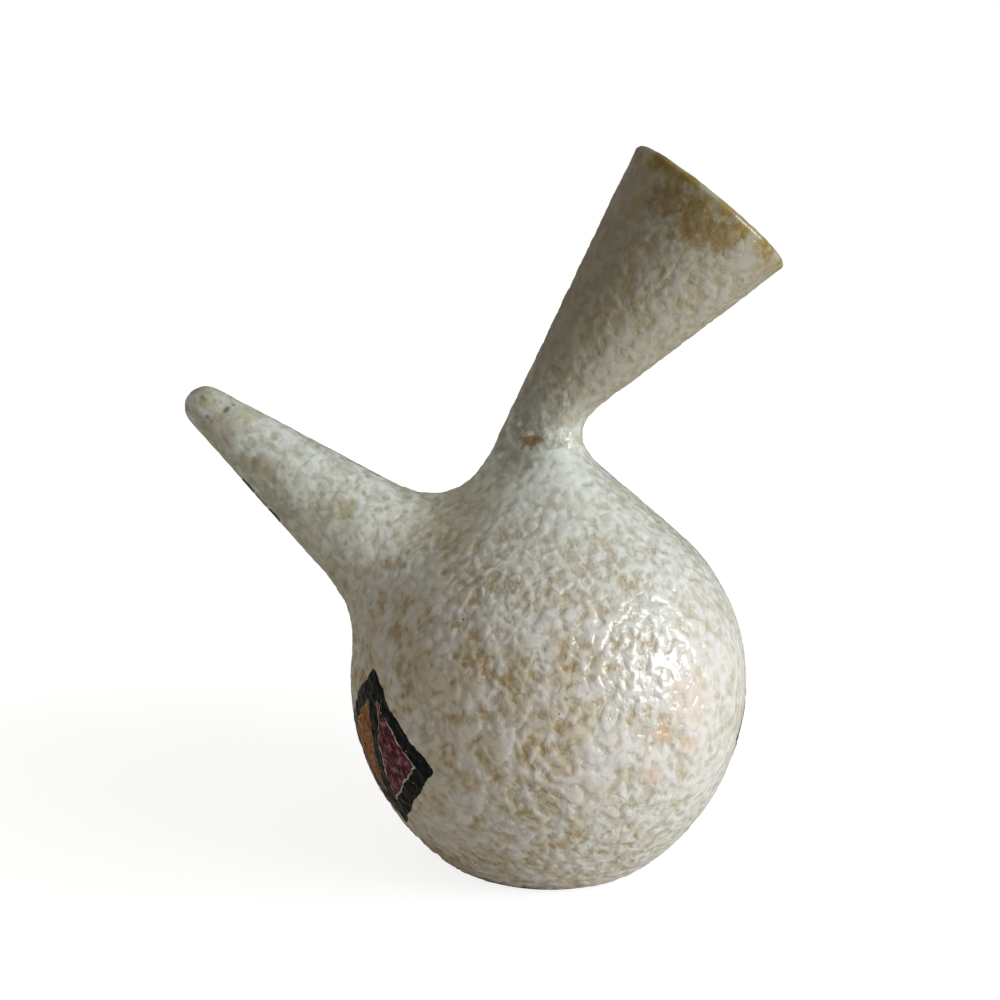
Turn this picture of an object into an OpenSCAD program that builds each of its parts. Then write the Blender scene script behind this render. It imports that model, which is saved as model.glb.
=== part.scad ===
/* [Globe] */
// Widest radius of the glazed globe
globe_r = 65; // [62:1:68]
// Height of the widest line above the foot
belly_z = 60; // [57:1:63]
// Radius of the flat foot
foot_r = 35.5; // [33:0.5:39]
// Radius of the arc that closes in above the widest line
shoulder_arc_r = 62; // [59:1:64]
// Lean of the straight shoulder from upright, in degrees
shoulder_lean = 49; // [47:1:51]

/* [Neck] */
// Lean of the neck from upright, in degrees
neck_tilt = 39; // [36:1:42]
// Length of the neck from the shoulder's peak to the lip
neck_len = 87; // [80:1:94]
// Outer radius of the mouth
mouth_r = 30.3; // [28:0.1:32]
// Outer radius of the neck at the shoulder's peak
throat_r = 9.4; // [9:0.1:10.5]
// Distance of the neck's root from the globe's axis, towards the horn
neck_shift = 4; // [3:0.1:5]

/* [Horn] */
// Lean of the horn from upright, in degrees
horn_tilt = 51; // [49:1:53]
// Distance from the globe's middle to the tip of the horn
horn_reach = 148; // [138:1:156]
// Radius of the rounded tip
horn_tip_r = 7.1; // [6.5:0.1:8]
// Half angle of the horn's taper, in degrees
horn_taper = 10.4; // [9.6:0.1:11]

/* [Clay] */
// Thickness of the clay walls
wall = 3.8; // [3.2:0.1:4.2]
// Thickness of the clay floor
floor_t = 7; // [5:0.5:9]
// Thickness of the slip in each joint
slip = 0.6; // [0.4:0.1:1]
// Diameter of the bore where the neck opens into the globe
throat_bore_d = 14; // [12:0.5:15]
// Diameter of the vent between the globe and the hollow horn
vent_d = 6; // [4:0.5:8]

/* [Glaze] */
// Thickness of the white outer glaze
coat = 0.9; // [0.6:0.1:1.2]
// Thickness of the glaze inside the globe and the neck
lining = 0.5; // [0.3:0.1:0.8]
// Radius of the filled corner round the neck's root
neck_fillet_r = 9.5; // [8:0.5:12]
// Radius of the filled corner between the horn and the neck
horn_fillet_r = 20; // [17:0.5:22]
// Radius of the filled corner under the horn
horn_under_r = 30; // [22:0.5:36]
// Height of the bare clay above the foot
foot_bare = 1.2; // [0.8:0.1:2]
// Thickness of the painted enamel
enamel = 0.4; // [0.3:0.05:0.6]

/* [Painted frieze] */
// Height of the middle of the lozenges
lozenge_z = 46; // [42:1:48]
// Half height of a lozenge
lozenge_h = 27; // [22:1:28]
// Half width of a lozenge
lozenge_w = 27; // [22:1:28]
// Width of the black outlines
outline_w = 5.5; // [4:0.5:7]
// Bare gap between an outline and its fields
bare_gap = 0.5; // [0.3:0.1:0.8]
// Turn of the frieze's near end about the globe's axis, in degrees
frieze_start = 32; // [26:1:38]
// Turn from one lozenge to the next, in degrees
frieze_step = 52; // [51:1:54]
// Distance of the horn's first band from the globe's middle
band_from = 100; // [95:1:105]
// Width of each of the horn's bands
band_w = 6; // [4:0.5:7]

/* [Hidden] */
$fn = 96;
CLAY = "#b9794f";
SLIP = "#8f5636";
WHITE_GLAZE = "#e4dfd2";
HONEY_GLAZE = "#a07a34";

// The globe's outline is two arcs that meet upright at the widest line, and a straight shoulder.
low_arc_x = (foot_r * foot_r + belly_z * belly_z - globe_r * globe_r) / (2 * (foot_r - globe_r));
low_arc_r = globe_r - low_arc_x;
top_arc_x = globe_r - shoulder_arc_r;
peak_z = belly_z + shoulder_arc_r / sin(shoulder_lean) + top_arc_x / tan(shoulder_lean);
arc_steps = 10;

// The neck is a cone on a leaning axis from the shoulder's peak.
neck_root = [-neck_shift, 0, peak_z];
neck_flare = atan((mouth_r - throat_r) / neck_len);
neck_heel = -32;
neck_cut_drop = 12.5;
neck_cut_z = peak_z - neck_cut_drop;
stub_z = neck_cut_z + slip;
stub_top_z = peak_z - 3;

// The throat's bore stands upright between the globe's axis and the neck's root.
throat_at = [-neck_shift / 2, 0, peak_z - 0.8];
throat_drop = 26;

// The lip is a low arc over the end of the wall.
lip_t = (coat + wall + lining) / cos(neck_flare);
lip_rise = 2.2;
lip_h = neck_len - lip_rise;
lip_lap = 0.02;
rim_t = 0.7;

// The horn points from the middle of the globe.
horn_root = [0, 0, belly_z];
horn_foot = 35;
band_turn = 40;
band_sweep = 172;
horn_tip_at = horn_reach - horn_tip_r;

clay_out = -coat;
clay_in = -coat - wall;

// A fillet ends in a thin edge, seated just clear of the coat.
fillet_edge = 0.15;
fillet_seat = 0.05;
fillet_steps = 6;
fillet_turn = 10;
neck_fillet_end = 130;
neck_ball_span = [-40, 40];
horn_ball_span = [40, 120];

function unit(v) = v / norm(v);

// Outline of the globe, grown by d: from the floor at height z up to the shoulder's peak.
function low_arc(d, z) =
    let (a0 = asin((z - belly_z) / (low_arc_r + d)))
    [for (i = [0 : arc_steps]) let (a = a0 * (1 - i / arc_steps))
        [low_arc_x + (low_arc_r + d) * cos(a), belly_z + (low_arc_r + d) * sin(a)]];
function top_arc(d, z) =
    let (a0 = asin((z - belly_z) / (shoulder_arc_r + d)))
    [for (i = [0 : arc_steps]) let (a = a0 + (shoulder_lean - a0) * i / arc_steps)
        [top_arc_x + (shoulder_arc_r + d) * cos(a), belly_z + (shoulder_arc_r + d) * sin(a)]];
function shoulder_r(d, z) = (peak_z + d / sin(shoulder_lean) - z) * tan(shoulder_lean);
function rest(points) = [for (i = [1 : len(points) - 1]) points[i]];
function back(points) = [for (i = [len(points) - 1 : -1 : 0]) points[i]];

module globe(d, z = 0) {
    rotate_extrude()
        polygon(concat([[0, z]], low_arc(d, z), rest(top_arc(d, belly_z)),
                       [[0, peak_z + d / sin(shoulder_lean)]]));
}

// The cone of the neck, grown by d, between two heights along its axis.
function neck_r(d, h) = throat_r + h * tan(neck_flare) + d / cos(neck_flare);
module on_neck() { translate(neck_root) rotate([0, neck_tilt, 0]) children(); }
module neck_cone(d, from, to) {
    on_neck() translate([0, 0, from])
        cylinder(h = to - from, r1 = neck_r(d, from), r2 = neck_r(d, to));
}

// The lip's arc, lowered by t, from the outer wall to just inside the inner wall.
function lip_arc(t, outer, inner) =
    [for (i = [0 : arc_steps]) let (k = i / arc_steps)
        [outer + (inner - outer) * k, lip_h + (lip_rise - t) * sin(180 * k)]];

// The horn, grown by d: a cone with a rounded tip.
function horn_r(d, s) = (horn_tip_r + d) / cos(horn_taper) + (horn_tip_at - s) * tan(horn_taper);
module on_horn() { translate(horn_root) rotate([0, -horn_tilt, 0]) children(); }
module horn_cone(d, from) {
    tip = [for (i = [0 : arc_steps]) let (a = horn_taper + (90 - horn_taper) * i / arc_steps)
        [(horn_tip_r + d) * cos(a), horn_tip_at + (horn_tip_r + d) * sin(a)]];
    on_horn() rotate_extrude() polygon(concat([[0, from], [horn_r(d, from), from]], tip));
}

// The throat's bore: upright from the globe, with a round end in the bend.
module throat_bore(d) {
    r = throat_bore_d / 2 + d;
    end = [for (i = [0 : arc_steps]) let (a = 90 * i / arc_steps) [r * cos(a), r * sin(a)]];
    translate(throat_at) rotate_extrude() polygon(concat([[0, -throat_drop], [r, -throat_drop]], end));
}

// The hollow of the globe and the neck, from its clay walls inwards by t.
module hollow(t) {
    globe(clay_in - t, floor_t + t);
    neck_cone(clay_in - t, 1, neck_len + 2);
    throat_bore(-t);
}

// How far a point is outside each form, and the way out of it there.
function globe_way(p) =
    let (r = norm([p.x, p.y]), c = p.z < belly_z ? low_arc_x : top_arc_x, v = [r - c, p.z - belly_z],
         a = min(atan2(v.y, v.x), shoulder_lean))
    [cos(a) * p.x / r, cos(a) * p.y / r, sin(a)];
function globe_gap(p) =
    let (r = norm([p.x, p.y]), low = p.z < belly_z, c = low ? low_arc_x : top_arc_x,
         v = [r - c, p.z - belly_z], a = min(atan2(v.y, v.x), shoulder_lean))
    v.x * cos(a) + v.y * sin(a) - (low ? low_arc_r : shoulder_arc_r);
function cone_gap(p, root, axis, r0, taper) =
    let (v = p - root, h = v * axis) (norm(v - h * axis) - r0 - h * tan(taper)) * cos(taper);
function cone_way(p, root, axis, taper) =
    let (v = p - root, h = v * axis) unit(v - h * axis) * cos(taper) - axis * sin(taper);

neck_axis = [sin(neck_tilt), 0, cos(neck_tilt)];
horn_axis = [-sin(horn_tilt), 0, cos(horn_tilt)];
function neck_gap(p) = cone_gap(p, neck_root, neck_axis, throat_r, neck_flare);
function neck_way(p) = cone_way(p, neck_root, neck_axis, neck_flare);
function horn_gap(p) = cone_gap(p, horn_root, horn_axis, horn_r(0, 0), -horn_taper);
function horn_way(p) = cone_way(p, horn_root, horn_axis, -horn_taper);
function body_gap(p) = min(globe_gap(p), neck_gap(p));
function body_way(p) = globe_gap(p) < neck_gap(p) ? globe_way(p) : neck_way(p);

// A ball of radius ball touches a cone at turn t, and slides along it until it rests on the other form.
function ball_at(s, t, root, axis, r0, taper, ball) =
    let (side = [axis.z, 0, -axis.x] * cos(t) + [0, 1, 0] * sin(t))
    root + axis * s + side * (r0 + s * tan(taper) + ball / cos(taper));
function resting(lo, hi, at, gap, ball, n = 30) =
    let (mid = (lo + hi) / 2)
    n == 0 ? at(mid)
    : gap(at(mid)) < ball ? resting(mid, hi, at, gap, ball, n - 1)
    : resting(lo, mid, at, gap, ball, n - 1);

// The first point of the walls on the way from p.
function seated(p, way, n = 40) =
    let (g = min(body_gap(p), horn_gap(p)) - fillet_seat)
    n == 0 || g < 0.001 ? p : seated(p + way * g, way, n - 1);

// A cut through a fillet: the ball's arc from wall to wall, and the walls behind it.
function fillet_cut(c, to_cone, to_body, ball) =
    let (turn = acos(to_cone * to_body), mid = unit(to_cone + to_body), across = unit(to_body - to_cone),
         ways = [for (i = [0 : fillet_steps]) let (a = turn * (i / fillet_steps - 0.5))
            mid * cos(a) + across * sin(a)],
         arc = [for (way = ways) c + way * (ball - fillet_edge)])
    concat(arc, back([for (i = [0 : fillet_steps]) seated(arc[i], ways[i])]));

// A skin through the cuts, closed round the ring or capped at both ends.
module fillet_skin(cuts, ring) {
    n = len(cuts);
    m = len(cuts[0]);
    sides = [for (i = [0 : n - (ring ? 1 : 2)]) for (j = [0 : m - 1])
        let (next = (i + 1) % n * m, right = (j + 1) % m,
             a = i * m + j, b = i * m + right, c = next + right, d = next + j)
        each [[a, c, b], [a, d, c]]];
    caps = ring ? [] : [for (j = [0 : fillet_steps - 1]) for (end = [0, (n - 1) * m])
        let (a = end + j, b = end + j + 1, c = end + m - 2 - j, d = end + m - 1 - j)
        each end == 0 ? [[a, b, c], [a, c, d]] : [[a, c, b], [a, d, c]]];
    polyhedron([for (cut = cuts) each cut], concat(sides, caps));
}

// Lower half of the globe, with its flat unglazed foot.
module lower_bowl() {
    color(CLAY) rotate_extrude()
        polygon(concat([[0, 0]], low_arc(clay_out, 0), back(low_arc(clay_in, floor_t)), [[0, floor_t]]));
}

// Slip that joins the two halves of the globe.
module belly_slip() {
    color(SLIP) rotate_extrude()
        polygon([[globe_r + clay_in, belly_z], [globe_r + clay_out, belly_z],
                 top_arc(clay_out, belly_z + slip)[0], top_arc(clay_in, belly_z + slip)[0]]);
}

// Upper half of the globe, cut flat for the neck and pierced for the horn's vent.
module upper_dome() {
    color(CLAY) difference() {
        rotate_extrude()
            polygon(concat(top_arc(clay_out, belly_z + slip),
                           [[shoulder_r(clay_out, neck_cut_z), neck_cut_z],
                            [shoulder_r(clay_in, neck_cut_z), neck_cut_z]],
                           back(top_arc(clay_in, belly_z + slip))));
        throat_bore(0);
        on_horn() cylinder(h = horn_tip_at, d = vent_d);
    }
}

// Slip under the neck's root.
module neck_slip() {
    color(SLIP) difference() {
        translate([0, 0, neck_cut_z])
            cylinder(h = slip, r1 = shoulder_r(clay_out, neck_cut_z), r2 = shoulder_r(clay_out, stub_z));
        hollow(0);
    }
}

// The funnel neck: a leaning cone on a stub of the shoulder, with a rounded lip.
module neck_funnel() {
    color(CLAY) difference() {
        union() {
            on_neck() rotate_extrude()
                polygon(concat([[0, neck_heel], [neck_r(clay_out, neck_heel), neck_heel]],
                               lip_arc(rim_t, neck_r(clay_out, lip_h), neck_r(clay_in, lip_h) - lip_lap),
                               [[0, lip_h]]));
            translate([0, 0, stub_z])
                cylinder(h = stub_top_z - stub_z, r1 = shoulder_r(clay_out, stub_z),
                         r2 = shoulder_r(clay_out, stub_top_z));
        }
        intersection() {
            globe(clay_out);
            translate([0, 0, stub_z - globe_r]) cube(2 * globe_r, center = true);
        }
        hollow(0);
    }
}

// Glaze gathered in the corner round the neck's root, thickest under the lean.
module neck_fillet() {
    cuts = [for (t = [-neck_fillet_end : fillet_turn : neck_fillet_end])
        let (at = function (s) ball_at(s, t, neck_root, neck_axis, throat_r, neck_flare, neck_fillet_r),
             c = resting(neck_ball_span[0], neck_ball_span[1], at, function (p) globe_gap(p),
                         neck_fillet_r))
        fillet_cut(c, -neck_way(c), -globe_way(c), neck_fillet_r)];
    color(WHITE_GLAZE) fillet_skin(cuts, false);
}

// Slip under the horn.
module horn_slip() {
    color(SLIP) difference() {
        intersection() {
            horn_cone(clay_out, horn_foot);
            globe(clay_out + slip);
        }
        globe(clay_out);
        horn_cone(clay_in, horn_foot - 1);
    }
}

// The hollow horn with its closed tip.
module horn() {
    color(CLAY) difference() {
        horn_cone(clay_out, horn_foot);
        globe(clay_out + slip);
        horn_cone(clay_in, horn_foot - 1);
    }
}

// Glaze gathered in the corner round the horn's root, up to the neck.
module horn_fillet() {
    cuts = [for (t = [0 : fillet_turn : 360 - fillet_turn])
        let (ball = (horn_fillet_r + horn_under_r + (horn_fillet_r - horn_under_r) * cos(t)) / 2,
             at = function (s) ball_at(s, t, horn_root, horn_axis, horn_r(0, 0), -horn_taper, ball),
             c = resting(horn_ball_span[0], horn_ball_span[1], at, function (p) body_gap(p), ball))
        fillet_cut(c, -horn_way(c), -body_way(c), ball)];
    color(WHITE_GLAZE) fillet_skin(cuts, true);
}

// The whole outside at a given growth, up to the lip.
module outside(d, neck_to) {
    globe(d);
    neck_cone(d, neck_heel, neck_to);
    horn_cone(d, horn_foot);
}

// The pitted white glaze over the whole outside, from above the foot to the lip.
module outer_glaze() {
    color(WHITE_GLAZE) difference() {
        outside(0, lip_h);
        outside(clay_out, lip_h + 1);
        translate([0, 0, foot_bare - globe_r]) cube(2 * globe_r, center = true);
    }
}

// The thin glaze inside the globe and the neck.
module lining_glaze() {
    color(WHITE_GLAZE) difference() {
        intersection() {
            hollow(0);
            on_neck() translate([-2 * globe_r, -2 * globe_r, lip_h - 5 * globe_r])
                cube([4 * globe_r, 4 * globe_r, 5 * globe_r]);
        }
        hollow(lining);
        on_horn() cylinder(h = horn_tip_at, d = vent_d);
    }
}

// The honey glaze that covers the lip.
module rim_glaze() {
    outer = neck_r(0, lip_h);
    color(HONEY_GLAZE) on_neck() rotate_extrude()
        polygon(concat(lip_arc(0, outer, outer - lip_t),
                       back(lip_arc(rim_t, neck_r(clay_out, lip_h), neck_r(clay_in, lip_h)))));
}

// A painted patch of the globe: a flat outline carried inwards onto the surface.
module painted(turn) {
    intersection() {
        difference() {
            globe(enamel, foot_bare);
            globe(0);
        }
        rotate([0, 0, -90 - turn]) translate([0, 0, lozenge_z]) rotate([90, 0, 90])
            linear_extrude(2 * globe_r) children();
    }
}

module lozenge(inset) {
    w = lozenge_w - inset * norm([lozenge_w, lozenge_h]) / lozenge_h;
    h = w * lozenge_h / lozenge_w;
    polygon([[w, 0], [0, h], [-w, 0], [0, -h]]);
}

module lozenge_lines() {
    difference() {
        lozenge(0);
        difference() {
            lozenge(outline_w);
            square([outline_w, 2 * lozenge_h], center = true);
        }
    }
}

// One side of a lozenge's field: side 1 is on the right, -1 on the left.
module lozenge_field(side) {
    intersection() {
        lozenge(outline_w + bare_gap);
        translate([side * (lozenge_w + outline_w / 2 + bare_gap), 0])
            square(2 * [lozenge_w, lozenge_h], center = true);
    }
}

function lozenge_turn(i) = frieze_start + (i + 0.5) * frieze_step;

// A painted band part of the way round the horn, away from the plain side.
module horn_band(i) {
    s0 = band_from + i * (band_w + bare_gap);
    s1 = s0 + band_w;
    on_horn() rotate([0, 0, band_turn]) rotate_extrude(angle = band_sweep)
        polygon([[horn_r(0, s0), s0], [horn_r(enamel, s0), s0],
                 [horn_r(enamel, s1), s1], [horn_r(0, s1), s1]]);
}

module black_enamel() {
    color("#16181a") {
        for (i = [0 : 4]) painted(lozenge_turn(i)) lozenge_lines();
        for (i = [0, 2]) horn_band(i);
    }
}

module maroon_enamel() {
    color("#6d2436") for (i = [0, 2]) painted(lozenge_turn(i)) lozenge_field(1);
}

module orange_enamel() {
    color("#b5651d") {
        for (i = [0, 2]) painted(lozenge_turn(i)) lozenge_field(-1);
        painted(lozenge_turn(4)) lozenge_field(1);
    }
}

module green_enamel() {
    color("#3c4f45") for (i = [1, 3]) painted(lozenge_turn(i)) lozenge_field(1);
}

module yellow_enamel() {
    color("#a99b34") {
        for (i = [1, 3]) painted(lozenge_turn(i)) lozenge_field(-1);
        horn_band(1);
    }
}

lower_bowl();
belly_slip();
upper_dome();
neck_slip();
neck_funnel();
neck_fillet();
horn_slip();
horn();
horn_fillet();
outer_glaze();
lining_glaze();
rim_glaze();
black_enamel();
maroon_enamel();
orange_enamel();
green_enamel();
yellow_enamel();
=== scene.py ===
import math

import bpy
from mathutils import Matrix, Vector, noise


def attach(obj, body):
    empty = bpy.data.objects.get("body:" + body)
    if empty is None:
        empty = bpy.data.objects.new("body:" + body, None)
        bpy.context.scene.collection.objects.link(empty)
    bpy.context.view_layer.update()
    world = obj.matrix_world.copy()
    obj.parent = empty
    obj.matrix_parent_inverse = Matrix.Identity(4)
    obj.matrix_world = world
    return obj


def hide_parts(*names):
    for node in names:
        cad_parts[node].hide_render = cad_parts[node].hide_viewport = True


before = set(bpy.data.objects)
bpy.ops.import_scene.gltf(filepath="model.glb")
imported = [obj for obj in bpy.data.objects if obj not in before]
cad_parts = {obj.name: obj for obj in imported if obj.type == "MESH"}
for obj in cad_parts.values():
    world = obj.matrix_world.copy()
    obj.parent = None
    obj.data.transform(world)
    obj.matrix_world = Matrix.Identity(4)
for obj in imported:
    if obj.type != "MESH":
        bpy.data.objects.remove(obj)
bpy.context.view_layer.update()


# Clay body. Four pieces of red-brown earthenware, thrown and moulded, and luted together with slip
# before the first firing. The coat covers them all but for the flat foot and the bare ring round it.
MM = 1000.0  # A pattern's scale counts its repeats in a metre, so MM / 3 is a pattern of about 3 mm.


def linear(hex_colour):
    """An sRGB hex colour as linear RGBA."""
    parts = [int(hex_colour[i:i + 2], 16) / 255 for i in (1, 3, 5)]
    return [p / 12.92 if p <= 0.04045 else ((p + 0.055) / 1.055) ** 2.4 for p in parts] + [1.0]


def add(tree, kind, inputs=None, **settings):
    """Adds a node with its settings, and links each input to a socket or gives it a value."""
    made = tree.nodes.new(kind)
    for name, value in settings.items():
        setattr(made, name, value)
    for name, value in (inputs or {}).items():
        if isinstance(value, bpy.types.NodeSocket):
            tree.links.new(value, made.inputs[name])
        else:
            made.inputs[name].default_value = value
    return made


def finish_named(name):
    """A new material, with its nodes, its shader and the place on the piece that patterns follow."""
    made = bpy.data.materials.new(name)
    made.use_nodes = True
    tree = made.node_tree
    place = tree.nodes.new("ShaderNodeTexCoord").outputs["Object"]
    return made, tree, tree.nodes["Principled BSDF"], place


def dressed(piece, finish):
    """Gives a piece one finish all over."""
    piece.data.materials.clear()
    piece.data.materials.append(finish)


# Bare fired earthenware: matt and dusty, with fine grog and darker marks from fingers and the kiln.
earthenware, tree, shader, place = finish_named("bare_fired_earthenware")
grog = add(tree, "ShaderNodeTexNoise", {"Vector": place, "Scale": MM / 1.2, "Detail": 3.0})
marks = add(tree, "ShaderNodeTexNoise", {"Vector": place, "Scale": MM / 22, "Detail": 4.0})
warm = add(tree, "ShaderNodeMix", {0: marks.outputs["Fac"], 6: linear("#a8653c"), 7: linear("#c99466")},
           data_type="RGBA")
clay_tone = add(tree, "ShaderNodeMix", {0: grog.outputs["Fac"], 6: warm.outputs[2], 7: linear("#d9ad85")},
                data_type="RGBA", blend_type="SOFT_LIGHT")
grit = add(tree, "ShaderNodeBump", {"Height": grog.outputs["Fac"], "Strength": 0.4, "Distance": 0.0003})
tree.links.new(clay_tone.outputs[2], shader.inputs["Base Color"])
tree.links.new(grit.outputs["Normal"], shader.inputs["Normal"])
shader.inputs["Roughness"].default_value = 0.88
for name in ("lower_bowl", "upper_dome", "neck_funnel", "horn"):
    dressed(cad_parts[name], earthenware)

# Fired slip: the same clay brushed on wet, so darker and finer.
slip, tree, shader, place = finish_named("fired_slip")
brushing = add(tree, "ShaderNodeTexNoise", {"Vector": place, "Scale": MM / 3, "Detail": 4.0})
slip_tone = add(tree, "ShaderNodeMix",
                {0: brushing.outputs["Fac"], 6: linear("#7d4529"), 7: linear("#9c6440")}, data_type="RGBA")
tree.links.new(slip_tone.outputs[2], shader.inputs["Base Color"])
shader.inputs["Roughness"].default_value = 0.8
for name in ("belly_slip", "neck_slip", "horn_slip"):
    dressed(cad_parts[name], slip)


# Lining. A thin wash of the same glaze as outside, swilled round in the globe and the neck and poured out
# again before the firing. It melted onto the clay, and ends under the lip.
STREAK = 0.3  # The pattern's scale upright, which draws the streaks out to about three times their width.

# Thin lining glaze: greyish cream, streaked where it ran and brown where the clay shows through.
lining_glaze, tree, shader, place = finish_named("thin_lining_glaze")
streaks = add(tree, "ShaderNodeMapping", {"Vector": place, "Scale": (1.0, 1.0, STREAK)})
runs = add(tree, "ShaderNodeTexNoise", {"Vector": streaks.outputs[0], "Scale": MM / 5, "Detail": 4.0})
thin = add(tree, "ShaderNodeMapRange", {0: runs.outputs["Fac"], 1: 0.42, 2: 0.72},
           interpolation_type="SMOOTHSTEP")
lining_tone = add(tree, "ShaderNodeMix", {0: thin.outputs[0], 6: linear("#c6c0ae"), 7: linear("#a08a67")},
                  data_type="RGBA")
ripple = add(tree, "ShaderNodeBump", {"Height": runs.outputs["Fac"], "Strength": 0.3, "Distance": 0.0004})
tree.links.new(lining_tone.outputs[2], shader.inputs["Base Color"])
tree.links.new(ripple.outputs["Normal"], shader.inputs["Normal"])
shader.inputs["Roughness"].default_value = 0.3
dressed(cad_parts["lining_glaze"], lining_glaze)


# White coat. A thick, opaque glaze over the whole outside, poured on and fired until it crawled into
# pits. It runs without a seam from the foot over the globe, the horn and the neck to the lip.
GLOBE_R, BELLY_Z, FOOT_R = 0.065, 0.060, 0.0355
SHOULDER_R, SHOULDER_LEAN = 0.062, math.radians(49)
NECK_X, NECK_TILT, NECK_LEN, MOUTH_R, THROAT_R = -0.004, math.radians(39), 0.087, 0.0303, 0.0094
HORN_TILT, HORN_REACH, HORN_TIP_R, HORN_TAPER = math.radians(51), 0.148, 0.0071, math.radians(10.4)
COAT_T, FOOT_BARE, LIP_RISE = 0.0009, 0.0012, 0.0022
VOXEL, SMOOTHINGS, MERGE = 0.0009, 14, 1e-6

# The globe's side is one arc below the belly line, with its middle at low_x, and one above it.
low_x = (FOOT_R ** 2 + BELLY_Z ** 2 - GLOBE_R ** 2) / (2 * (FOOT_R - GLOBE_R))
low_r = GLOBE_R - low_x
top_x = GLOBE_R - SHOULDER_R
peak_z = BELLY_Z + SHOULDER_R / math.sin(SHOULDER_LEAN) + top_x / math.tan(SHOULDER_LEAN)

neck_root = Vector((NECK_X, 0, peak_z))
neck_axis = Vector((math.sin(NECK_TILT), 0, math.cos(NECK_TILT)))
neck_slope = (MOUTH_R - THROAT_R) / NECK_LEN
lip_h = NECK_LEN - LIP_RISE
lip_at = neck_root + neck_axis * lip_h
neck_r_lip = THROAT_R + lip_h * neck_slope
horn_axis = Vector((-math.sin(HORN_TILT), 0, math.cos(HORN_TILT)))
horn_tip_s = HORN_REACH - HORN_TIP_R


def horn_r(s):
    """The horn's radius at a distance from the globe's middle."""
    return HORN_TIP_R / math.cos(HORN_TAPER) + (horn_tip_s - s) * math.tan(HORN_TAPER)


def arc(x, z, radius, angles):
    """Points of an outline on a circle round (x, z)."""
    return [(x + radius * math.cos(a), z + radius * math.sin(a)) for a in angles]


def picked(*pieces):
    """Selects these pieces alone, with the first one active. With none given, nothing stays selected."""
    bpy.ops.object.select_all(action="DESELECT")
    for piece in pieces:
        piece.select_set(True)
    if pieces:
        bpy.context.view_layer.objects.active = pieces[0]


def turned(name, outline, steps=160):
    """Draws an outline point by point in the XZ plane and spins it about Z, as on a wheel."""
    picked()
    bpy.ops.mesh.primitive_plane_add(size=0.001)
    piece = bpy.context.object
    piece.name = name
    bpy.ops.object.mode_set(mode="EDIT")
    bpy.ops.mesh.merge(type="CENTER")
    bpy.ops.transform.translate(value=(outline[0][0], 0, outline[0][1]))
    for a, b in zip(outline, outline[1:]):
        bpy.ops.mesh.extrude_vertices_move(TRANSFORM_OT_translate={"value": (b[0] - a[0], 0, b[1] - a[1])})
    bpy.ops.mesh.select_all(action="SELECT")
    bpy.ops.mesh.spin(steps=steps, angle=2 * math.pi, center=(0, 0, 0), axis=(0, 0, 1))
    bpy.ops.mesh.select_all(action="SELECT")
    bpy.ops.mesh.remove_doubles(threshold=MERGE)
    bpy.ops.mesh.normals_make_consistent(inside=False)
    bpy.ops.object.mode_set(mode="OBJECT")
    return piece


def applied(piece, kind, **settings):
    """Puts a modifier on a piece and applies it."""
    picked(piece)
    modifier = piece.modifiers.new(kind.lower(), kind)
    for name, value in settings.items():
        setattr(modifier, name, value)
    bpy.ops.object.modifier_apply(modifier=modifier.name)


# The globe runs a little below the foot, and is cut there after the skin is smoothed.
FOOT_SPARE = 0.003
low_from = math.asin((-FOOT_SPARE - BELLY_Z) / low_r)
globe_outline = [(0, -FOOT_SPARE)]
globe_outline += arc(low_x, BELLY_Z, low_r, [low_from * (1 - i / 24) for i in range(25)])
globe_outline += arc(top_x, BELLY_Z, SHOULDER_R, [SHOULDER_LEAN * i / 20 for i in range(1, 21)])
globe_outline += [(0, peak_z)]
coat = turned("white_coat", globe_outline)

# The horn is turned upright from its foot inside the globe, then leaned over at the globe's middle.
HORN_FROM = 0.035
tip_angles = [HORN_TAPER + (math.pi / 2 - HORN_TAPER) * i / 10 for i in range(10)]
horn_outline = [(0, HORN_FROM), (horn_r(HORN_FROM), HORN_FROM)]
horn_outline += arc(0, horn_tip_s, HORN_TIP_R, tip_angles)
horn_outline += [(0, HORN_REACH)]
horn_coat = turned("horn_coat", horn_outline, steps=96)
horn_coat.rotation_euler = (0, -HORN_TILT, 0)
horn_coat.location = (0, 0, BELLY_Z)

# The neck is a plain cone that starts inside the globe and runs past the lip, where it is cut later.
NECK_SUNK, LIP_SPARE = 0.032, 0.004
cone_from, cone_to = -NECK_SUNK, NECK_LEN + LIP_SPARE
picked()
bpy.ops.mesh.primitive_cone_add(vertices=128, radius1=THROAT_R + cone_from * neck_slope,
                                radius2=THROAT_R + cone_to * neck_slope, depth=cone_to - cone_from,
                                location=neck_root + neck_axis * (cone_from + cone_to) / 2,
                                rotation=(0, NECK_TILT, 0))
neck_coat = bpy.context.object

# The filled corners are the frame's own, grown a little so that they sink into the coat.
FILL_GROWTH = 0.0002
fills = []
for name in ("neck_fillet", "horn_fillet"):
    fill = bpy.data.objects.new(name + "_skin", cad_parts[name].data.copy())
    bpy.context.scene.collection.objects.link(fill)
    picked(fill)
    bpy.ops.object.mode_set(mode="EDIT")
    bpy.ops.mesh.select_all(action="SELECT")
    bpy.ops.mesh.remove_doubles(threshold=MERGE)
    bpy.ops.transform.shrink_fatten(value=FILL_GROWTH)
    bpy.ops.object.mode_set(mode="OBJECT")
    fills.append(fill)

picked(coat, horn_coat, neck_coat, *fills)
bpy.ops.object.transform_apply(location=True, rotation=True, scale=True)
bpy.ops.object.join()
applied(coat, "REMESH", mode="VOXEL", voxel_size=VOXEL, use_smooth_shade=True)
applied(coat, "SMOOTH", factor=0.5, iterations=SMOOTHINGS)

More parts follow.
